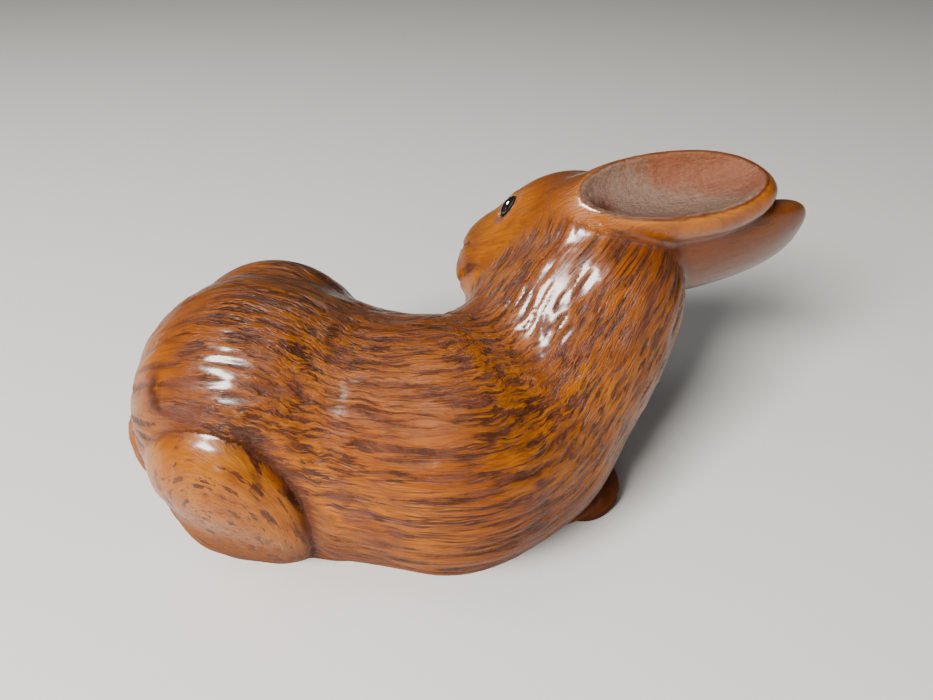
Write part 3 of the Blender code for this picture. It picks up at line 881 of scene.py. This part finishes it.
# %% Wrapped sockets
class Value:
    """A number in a material, made of sockets."""

    def __init__(self, tree, socket):
        self.tree = tree
        self.socket = socket

    def node(self, kind, settings=None, **inputs):
        """Add a node: settings first, then the values or links of sockets."""
        made = self.tree.nodes.new(kind)
        for name, setting in (settings or {}).items():
            setattr(made, name, setting)
        for name, given in inputs.items():
            socket = made.inputs[int(name[1:])] if name[0] == "_" else made.inputs[name]
            if isinstance(given, Value):
                self.tree.links.new(given.socket, socket)
            else:
                socket.default_value = given
        return made

    def maths(self, operation, *others):
        """One Math node on this value and the others."""
        inputs = {"_" + str(n): given for n, given in enumerate((self,) + others)}
        made = self.node("ShaderNodeMath", {"operation": operation}, **inputs)
        return Value(self.tree, made.outputs[0])

    def __add__(self, other):
        return self.maths("ADD", other)

    def __sub__(self, other):
        return self.maths("SUBTRACT", other)

    def __mul__(self, other):
        return self.maths("MULTIPLY", other)

    def __rsub__(self, other):
        return (self * -1.0) + other

    __radd__ = __add__
    __rmul__ = __mul__

    def between(self, low, high):
        """Smooth step from 0 at low to 1 at high."""
        smooth = {"interpolation_type": "SMOOTHSTEP"}
        made = self.node("ShaderNodeMapRange", smooth, _0=self, _1=low, _2=high)
        return Value(self.tree, made.outputs[0])

    def clamped(self):
        """Kept from 0 to 1."""
        return self.maths("MAXIMUM", 0.0).maths("MINIMUM", 1.0)

    def mix(self, one, other):
        """Colour that runs from one to other as this value goes from 0 to 1."""
        made = self.node("ShaderNodeMix", {"data_type": "RGBA"}, _0=self, _6=one, _7=other)
        return Value(self.tree, made.outputs[2])

    def moved(self, aside):
        """This place, shifted by a value along its second axis."""
        step = Value(self.tree, self.node("ShaderNodeCombineXYZ", Y=aside).outputs[0])
        made = self.node("ShaderNodeVectorMath", {"operation": "ADD"}, _0=self, _1=step)
        return Value(self.tree, made.outputs[0])

    def part(self, axis):
        """One of the three numbers of a place."""
        made = self.node("ShaderNodeSeparateXYZ", Vector=self)
        return Value(self.tree, made.outputs[axis])


# %% Colours and noise
def tone(red, green, blue):
    """A light colour as seen on screen, 0 to 255, made linear for the shader."""
    linear = ((np.array((red, green, blue)) / 255.0 + 0.055) / 1.055) ** 2.4
    return (*linear.tolist(), 1.0)


def attribute(tree, name, output="Fac"):
    """An attribute of the mesh."""
    made = tree.nodes.new("ShaderNodeAttribute")
    made.attribute_name = name
    return Value(tree, made.outputs[output])


def noise(where, size, stretch, detail, roughness=0.55):
    """Noise on coordinates stretched by a Mapping node."""
    mapped = where.node("ShaderNodeMapping", Vector=where, Scale=stretch)
    cloud = Value(where.tree, mapped.outputs[0])
    sockets = {"Vector": cloud, "Scale": size, "Detail": detail, "Roughness": roughness}
    made = where.node("ShaderNodeTexNoise", **sockets)
    return Value(where.tree, made.outputs[0])


TABLE_WHITE = tone(228, 226, 220)
print("white of the table, linear:", [round(part, 2) for part in TABLE_WHITE[:3]])

# %% [markdown]
# ## Stained, waxed wood
# The stain is orange brown where hands have polished it and dark purple
# brown where it pooled in the cuts. Wax gives a clear gloss over both, so the
# shader is a satin base under a thin coat. The hair lines are noise that is
# stretched along the fur: where it crosses its middle value lies a thin wavy
# line, and where it is high lies a broad stain.

# %% Lines of stain
BEND = 1.8
LINE_WIDTH = 0.045
THREAD_WIDTH = 0.07

wood = bpy.data.materials.new("stained_waxed_wood")
wood.use_nodes = True
tree = wood.node_tree
shader = tree.nodes["Principled BSDF"]
spot = Value(tree, tree.nodes.new("ShaderNodeTexCoord").outputs["Object"])


def thin_line(cloud, width):
    """1 where the cloud is at its middle value, 0 where it is width away."""
    off = (cloud - 0.5).maths("ABSOLUTE")
    return 1.0 - off.between(width * 0.35, width)


def hair_lines(hair):
    """Thin wavy lines, broad stains and fine threads that follow the hair."""
    bend = noise(hair, 1.0, (0.16, 0.3, 1.0), 2.0)
    bent = hair.moved((bend - 0.5) * BEND)
    gaps = noise(bent, 1.0, (0.2, 0.6, 1.0), 2.0).between(0.4, 0.55)
    lines = thin_line(noise(bent, 1.0, (0.07, 0.85, 1.0), 4.0, 0.6), LINE_WIDTH) * gaps
    stains = noise(bent, 1.0, (0.1, 1.5, 1.0), 5.0, 0.62).between(0.56, 0.64)
    threads = thin_line(noise(bent, 1.0, (0.2, 1.9, 1.0), 3.0, 0.6), THREAD_WIDTH)
    return lines, stains, threads


body_hair = attribute(tree, "body_flow", "Vector")
head_hair = attribute(tree, "head_flow", "Vector")
body_lines, body_stains, body_threads = hair_lines(body_hair)
head_lines, head_stains, head_threads = hair_lines(head_hair)
face_at = attribute(tree, "face")
thigh_at = attribute(tree, "thigh")
end_at = attribute(tree, "end")
on_body = (1.0 - face_at) * (1.0 - thigh_at * 0.8) * (1.0 - end_at * 0.85)
lines = body_lines * on_body + head_lines * face_at * 0.3
stains = body_stains * on_body + head_stains * face_at * 0.35
threads = body_threads * on_body + head_threads * face_at * 0.45
threads = threads + body_threads * thigh_at * 0.3
ring_dashes = noise(body_hair, 1.0, (0.3, 1.15, 1.0), 4.0, 0.6).between(0.54, 0.61) * thigh_at
print("line nodes:", len(tree.nodes))

# %% Colours of the stain
AMBER = (0.3, 0.084, 0.001, 1.0)
RUSSET = (0.21, 0.05, 0.001, 1.0)
CHESTNUT = (0.075, 0.016, 0.001, 1.0)
TAN = (0.29, 0.088, 0.004, 1.0)
HONEY = (0.38, 0.125, 0.004, 1.0)
UMBER = (0.045, 0.011, 0.003, 1.0)
PLUM = (0.09, 0.024, 0.01, 1.0)
ASH = (0.17, 0.11, 0.078, 1.0)
CLAY = (0.17, 0.06, 0.03, 1.0)
LID_GREY = (0.13, 0.06, 0.045, 1.0)

fur_at = attribute(tree, "fur")
curve_at = attribute(tree, "curve")
hollow_at = attribute(tree, "hollow")
knots_at = attribute(tree, "knots")
ledge_shade_at = attribute(tree, "ledge")
far_ear_paw_shade_at = attribute(tree, "far_ear_paw_shade")
broad = noise(spot, 75.0, (1.0, 1.0, 1.0), 3.0)
blotch = noise(spot, 300.0, (1.0, 1.0, 1.0), 5.0, 0.65)
speck = noise(spot, 2600.0, (1.0, 1.0, 1.0), 2.0, 0.7)

warm = broad.between(0.35, 0.62).mix(AMBER, RUSSET)
warm = (blotch.between(0.5, 0.72) * 0.4).mix(warm, CHESTNUT)
warm = thigh_at.mix(warm, blotch.between(0.4, 0.7).mix(TAN, RUSSET))
worn = curve_at.between(0.12, 0.4) * 0.45
warm = worn.mix(warm, HONEY)
# Painted shade: the paws and the far ear are darkened towards chestnut.
warm = (far_ear_paw_shade_at * 0.75).mix(warm, CHESTNUT)
height = spot.part(2)
# Painted shade: the wood is darkened towards the bottom, near the table.
shade_near_table = 1.0 - height.between(0.001, 0.019)
warm = (shade_near_table * 0.8).mix(warm, CHESTNUT)
pooled = fur_at.between(0.15, 0.6) * (0.35 + speck * 0.9)
# Painted shade: the wood is darkened in creases, where the surface is hollow.
crease_shade = curve_at.between(-0.03, -0.3)
# This mask holds the stain lines and also the painted shade of the creases and the groove above the
# thigh.
stain_and_shade = lines * 0.85 + stains * 0.6 + threads * 0.4 + ring_dashes * 0.85
stain_and_shade = stain_and_shade + pooled * 0.75 + crease_shade * 0.6
# Painted shade: the groove band above the thigh's upper front edge is darkened in blotches.
stain_and_shade = (stain_and_shade + knots_at * blotch.between(0.3, 0.5) + ledge_shade_at * (blotch * 1.1 - 0.1)).clamped()
dark = blotch.between(0.42, 0.6).mix(UMBER, PLUM)
colour = stain_and_shade.mix(warm, dark)
print("nodes with the stain:", len(tree.nodes))

# %% The grey floor of the ears, and the lids
# Partly painted shade: the ear's hollow turns darker and redder towards its far wall and its tip, and
# blotches vary it at random.
far_wall_shade_and_blotch = head_hair.part(0) * 0.09 + head_hair.part(1) * 0.16 + blotch * 1.2 - 0.55
far_wall_shade_and_blotch = far_wall_shade_and_blotch.between(0.0, 0.8)
grain = speck.between(0.35, 0.65) * 0.4 + 0.6
floor = far_wall_shade_and_blotch.mix(ASH, CLAY)
floor = ((1.0 - grain) * 0.9 + knots_at).clamped().mix(floor, PLUM)
colour = (hollow_at * 0.95).mix(colour, floor)
# Painted shade: a dark chestnut ring where the ear's rim drops into its hollow.
hollow_edge_shade = hollow_at * (1.0 - hollow_at) * 4.0
colour = (hollow_edge_shade * (0.35 + blotch)).clamped().mix(colour, CHESTNUT)
colour = attribute(tree, "lid").between(0.3, 0.9).mix(colour, LID_GREY)
tree.links.new(colour.socket, shader.inputs["Base Color"])
print("nodes with the ears and lids:", len(tree.nodes))

# %% Gloss and relief
dull_at = attribute(tree, "dull")
rough = 0.36 + pooled * 0.12 + speck.between(0.3, 0.8) * 0.12
rough = rough + hollow_at * 0.3 + dull_at * 0.25
rough = rough + shade_near_table * 0.3 + far_ear_paw_shade_at * 0.2
tree.links.new(rough.clamped().socket, shader.inputs["Roughness"])
gloss = height.between(0.008, 0.022) * 0.45 + attribute(tree, "ear") * 0.4
gloss = gloss - hollow_at * 0.9 - dull_at * 0.6
tree.links.new(gloss.clamped().socket, shader.inputs["Coat Weight"])
shader.inputs["Coat Roughness"].default_value = 0.18
shader.inputs["Coat IOR"].default_value = 1.4
shader.inputs["IOR"].default_value = 1.42
shader.inputs["Specular IOR Level"].default_value = 0.15

relief = stains * -0.5 + lines * -0.8 + threads * -0.35 + blotch * 0.5 + speck * hollow_at * 1.2
bump = tree.nodes.new("ShaderNodeBump")
bump.inputs["Strength"].default_value = 0.6
bump.inputs["Distance"].default_value = 0.0002
tree.links.new(relief.socket, bump.inputs["Height"])
tree.links.new(bump.outputs[0], shader.inputs["Normal"])
hare.data.materials.clear()
hare.data.materials.append(wood)
print("wood nodes:", len(tree.nodes))

# %% Inlay material
inlay = bpy.data.materials.new("dark_horn")
inlay.use_nodes = True
horn = inlay.node_tree.nodes["Principled BSDF"]
horn.inputs["Base Color"].default_value = (0.008, 0.006, 0.006, 1.0)
horn.inputs["Roughness"].default_value = 0.08
horn.inputs["Coat Weight"].default_value = 0.6
horn.inputs["Coat Roughness"].default_value = 0.03
for item in eyes.values():
    item.data.materials.append(inlay)
print("inlay on", len(eyes), "beads")

# %% [markdown]
# ## One frame for both models
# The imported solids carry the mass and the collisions. Each dressed piece
# rides on the same body and takes the place of its plain solid, so that the
# two models can't drift apart.

# %% Fix each piece to the frame
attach(hare, "root")
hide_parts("hare")
for node, item in eyes.items():
    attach(item, "root")
    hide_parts(node)
print("pieces fixed:", 1 + len(eyes))

# %% [markdown]
# ## A pale table, soft light and a close camera
# The carving lies on a plain pale surface. A soft box at its left and front
# lights it and throws the shadow to the back right. The shine on the rump and
# neck comes from a second box above, which only the wax sees, and a small low
# one glints in the eye. The camera is close, so the near side looms and the
# far ear shrinks, as in a hand-held close-up.

# %% Table
bpy.ops.mesh.primitive_plane_add(size=3.0, location=(0.0, 0.0, -0.00002))
table_top = bpy.context.object
table_top.name = "pale_table"
paper = bpy.data.materials.new("pale_matt")
paper.use_nodes = True
matt = paper.node_tree.nodes["Principled BSDF"]
matt.inputs["Base Color"].default_value = TABLE_WHITE
matt.inputs["Roughness"].default_value = 0.7
table_top.data.materials.append(paper)
print("table:", table_top.name)


# %% Lights
AIM = Vector((0.0, 0.0, 0.02))
ROOM_LIGHT = 0.08


def softbox(name, direction, distance, size, power, colour):
    """A rectangle of light this way and this far off, turned to face the carving."""
    place = AIM + Vector(direction).normalized() * distance
    light = bpy.data.lights.new(name, "AREA")
    light.shape = "RECTANGLE"
    light.size, light.size_y = size
    light.energy = power
    light.color = colour
    item = bpy.data.objects.new(name, light)
    item.location = place
    item.rotation_euler = (AIM - place).to_track_quat("-Z", "Y").to_euler()
    bpy.context.scene.collection.objects.link(item)
    return item


window = softbox("window", (-0.47, -0.68, 0.57), 0.56, (0.2, 0.15), 8.6, (1.0, 0.985, 0.96))
window.visible_glossy = False
lamp = softbox("lamp", (-0.37, -0.30, 0.88), 0.5, (0.2, 0.14), 17.0, (1.0, 0.96, 0.92))
lamp.visible_diffuse = False
softbox("low_front", (-0.19, -0.92, 0.34), 0.6, (0.08, 0.06), 0.3, (1.0, 0.98, 0.95))
world = bpy.data.worlds.new("room")
bpy.context.scene.world = world
world.use_nodes = True
sky = world.node_tree.nodes["Background"]
sky.inputs["Color"].default_value = (0.95, 0.97, 1.0, 1.0)
sky.inputs["Strength"].default_value = ROOM_LIGHT
print("main light at", tuple(round(share, 2) for share in window.location))

# %% Camera
CAMERA_PLACE = np.array((0.0, -88.0, 91.5))
CAMERA_TILT_DOWN = 34.0
FOCAL_PIXELS = 726.0
IMAGE_WIDTH = 933.0
FILM_WIDTH = 36.0

lens = bpy.data.cameras.new("close_camera")
lens.sensor_width = FILM_WIDTH
lens.lens = FOCAL_PIXELS / IMAGE_WIDTH * FILM_WIDTH
lens.clip_start = 0.005
camera = bpy.data.objects.new("close_camera", lens)
camera.location = (CAMERA_PLACE - MIDDLE) * SHARE
camera.rotation_euler = (math.radians(90.0 - CAMERA_TILT_DOWN), 0.0, 0.0)
bpy.context.scene.collection.objects.link(camera)
bpy.context.scene.camera = camera
print("focal length:", round(lens.lens, 2), "mm")
